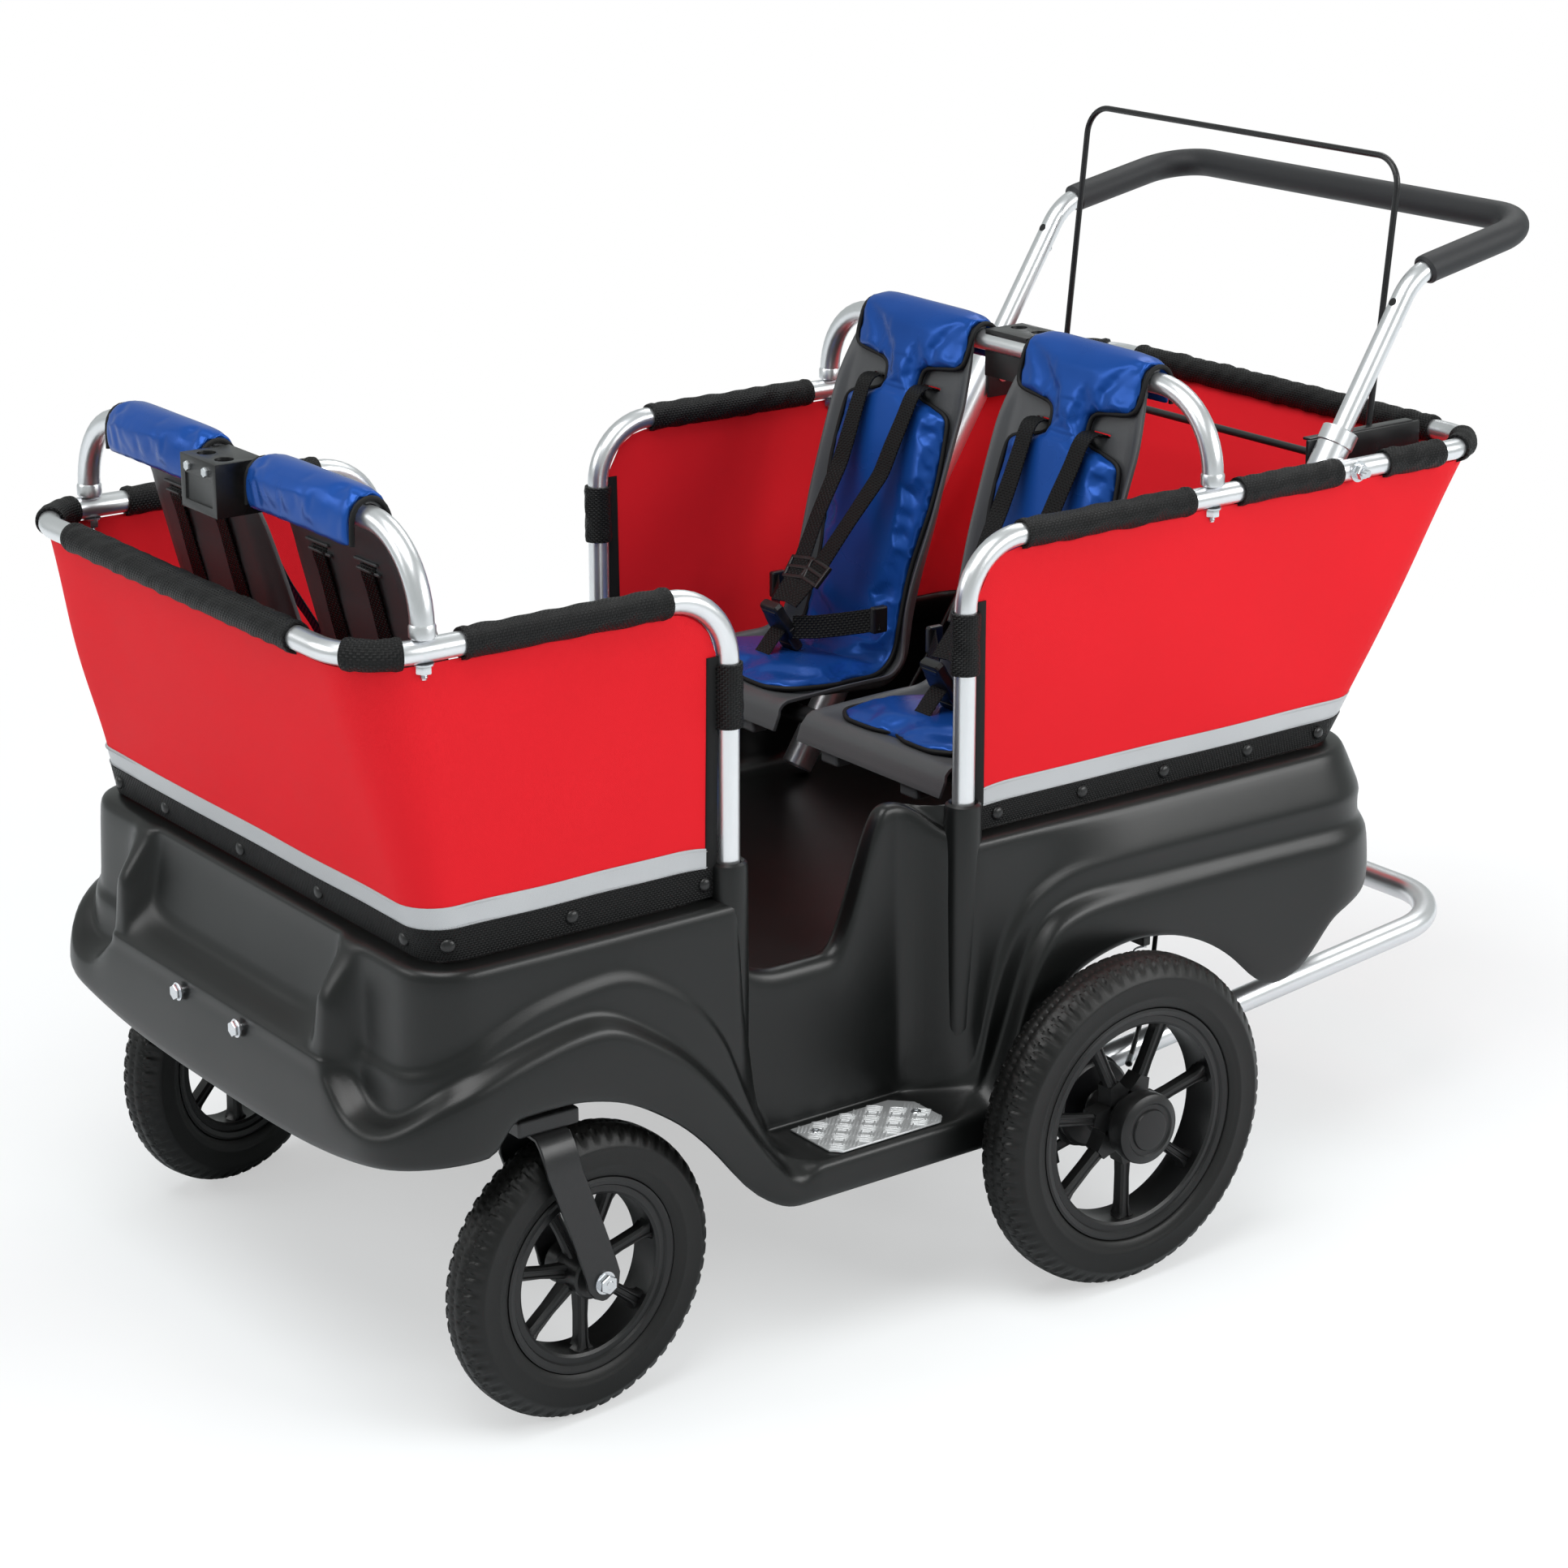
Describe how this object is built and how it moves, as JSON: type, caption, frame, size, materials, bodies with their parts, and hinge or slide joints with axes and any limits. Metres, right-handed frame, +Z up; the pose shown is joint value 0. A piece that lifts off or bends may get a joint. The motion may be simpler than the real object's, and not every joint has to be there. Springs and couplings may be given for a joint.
{
  "type": "multi seat daycare stroller",
  "caption": "Daycare stroller with facing seat pairs over a moulded tub with door openings, swivel front wheels, braked rear wheels, cloth sides and a push handle with brake bail.",
  "frame": {"origin": "middle of the footprint's box, on the ground", "axes": "+Z up, -Y towards the front of the stroller, +X towards its left side"},
  "size_m": [0.864, 1.4351, 1.0112],
  "materials": {
    "body_plastic": "satin",
    "rim_plastic": "satin",
    "shell_plastic": "satin",
    "tube": "satin anodised",
    "plate": "bright tread plate",
    "steel": "zinc plated",
    "black_steel": "satin black",
    "foam": "closed-cell foam",
    "tyre": "treaded",
    "red_cloth": "coated weave",
    "blue_satin": "quilted satin",
    "webbing": "woven webbing"
  },
  "bodies": {
    "body": {"tub": "body_plastic", "step_plate_left": "plate", "step_plate_right": "plate", "front_rail": "tube", "rear_rail": "tube", "front_seat_hoop": "tube", "rear_seat_hoop": "tube", "front_canopy_socket": "body_plastic", "rear_canopy_socket": "body_plastic", "seat_bar_front": "black_steel", "seat_bar_rear": "black_steel", "front_fabric": "red_cloth", "rear_fabric": "red_cloth", "cross_rod": "black_steel", "chassis_frame": "black_steel", "rear_bumper": "tube", "rear_axle": "steel", "seat_shell_front_left": "shell_plastic", "seat_pad_front_left": "blue_satin", "harness_front_left": "webbing", "seat_shell_front_right": "shell_plastic", "seat_pad_front_right": "blue_satin", "harness_front_right": "webbing", "seat_shell_rear_left": "shell_plastic", "seat_pad_rear_left": "blue_satin", "harness_rear_left": "webbing", "seat_shell_rear_right": "shell_plastic", "seat_pad_rear_right": "blue_satin", "harness_rear_right": "webbing", "handle_socket_left": "tube", "bail_bracket_left": "black_steel", "brake_plate_left": "black_steel", "brake_spring_left": "black_steel", "brake_cable_left": "webbing", "handle_socket_right": "tube", "bail_bracket_right": "black_steel", "brake_plate_right": "black_steel", "brake_spring_right": "black_steel", "brake_cable_right": "webbing"},
    "handle": {"push_handle": "tube", "handle_grip": "foam"},
    "bail": {"brake_bail": "black_steel"},
    "caster_left": {"caster_fork_left": "black_steel", "caster_axle_left": "steel"},
    "front_wheel_left": {"front_rim_left": "rim_plastic", "front_tyre_left": "tyre"},
    "rear_wheel_left": {"rear_rim_left": "rim_plastic", "rear_tyre_left": "tyre"},
    "button_left": {"handle_button_left": "steel"},
    "lever_left": {"brake_lever_left": "black_steel"},
    "caster_right": {"caster_fork_right": "black_steel", "caster_axle_right": "steel"},
    "front_wheel_right": {"front_rim_right": "rim_plastic", "front_tyre_right": "tyre"},
    "rear_wheel_right": {"rear_rim_right": "rim_plastic", "rear_tyre_right": "tyre"},
    "button_right": {"handle_button_right": "steel"},
    "lever_right": {"brake_lever_right": "black_steel"}
  },
  "joints": [
    {"name": "caster_left_swivel", "type": "hinge", "parent": "body", "child": "caster_left", "pos_m": [0.311, -0.5453, 0.283], "axis": [0, 0, 1], "continuous": true},
    {"name": "front_wheel_left_spin", "type": "hinge", "parent": "caster_left", "child": "front_wheel_left", "pos_m": [0.30858, -0.50337, 0.135], "axis": [0.9983, 0.0576, 0], "continuous": true},
    {"name": "rear_wheel_left_spin", "type": "hinge", "parent": "body", "child": "rear_wheel_left", "pos_m": [0.392, 0.0587, 0.162], "axis": [1, 0, 0], "continuous": true},
    {"name": "caster_right_swivel", "type": "hinge", "parent": "body", "child": "caster_right", "pos_m": [-0.311, -0.5453, 0.283], "axis": [0, 0, 1], "continuous": true},
    {"name": "front_wheel_right_spin", "type": "hinge", "parent": "caster_right", "child": "front_wheel_right", "pos_m": [-0.32258, -0.50493, 0.135], "axis": [0.9613, 0.2756, 0], "continuous": true},
    {"name": "rear_wheel_right_spin", "type": "hinge", "parent": "body", "child": "rear_wheel_right", "pos_m": [-0.392, 0.0587, 0.162], "axis": [1, 0, 0], "continuous": true},
    {"name": "handle_slide", "type": "slide", "parent": "body", "child": "handle", "axis": [0, 0.5314, 0.8471], "range_m": [-0.075, 0.06]},
    {"name": "button_left_press", "type": "slide", "parent": "handle", "child": "button_left", "axis": [0, -0.8471, 0.5314], "range_m": [0, 0.0025], "stiffness_N_per_m": 600, "springref_m": -0.002},
    {"name": "button_right_press", "type": "slide", "parent": "handle", "child": "button_right", "axis": [0, -0.8471, 0.5314], "range_m": [0, 0.0025], "stiffness_N_per_m": 600, "springref_m": -0.002},
    {"name": "bail_swing", "type": "hinge", "parent": "body", "child": "bail", "pos_m": [0, 0.5077, 0.724], "axis": [-1, 0, 0], "range_deg": [0, 33], "stiffness_Nm_per_rad": 0.9, "springref_deg": -14.32},
    {"name": "lever_left_pull", "type": "hinge", "parent": "body", "child": "lever_left", "pos_m": [0.3357, 0.0607, 0.13], "axis": [-1, 0, 0], "range_deg": [0, 20]},
    {"name": "lever_right_pull", "type": "hinge", "parent": "body", "child": "lever_right", "pos_m": [-0.3357, 0.0607, 0.13], "axis": [-1, 0, 0], "range_deg": [0, 20]}
  ],
  "couplings": [
    {"joint": "lever_left_pull", "follows": "bail_swing", "ratio": 0.6},
    {"joint": "lever_right_pull", "follows": "bail_swing", "ratio": 0.6}
  ]
}
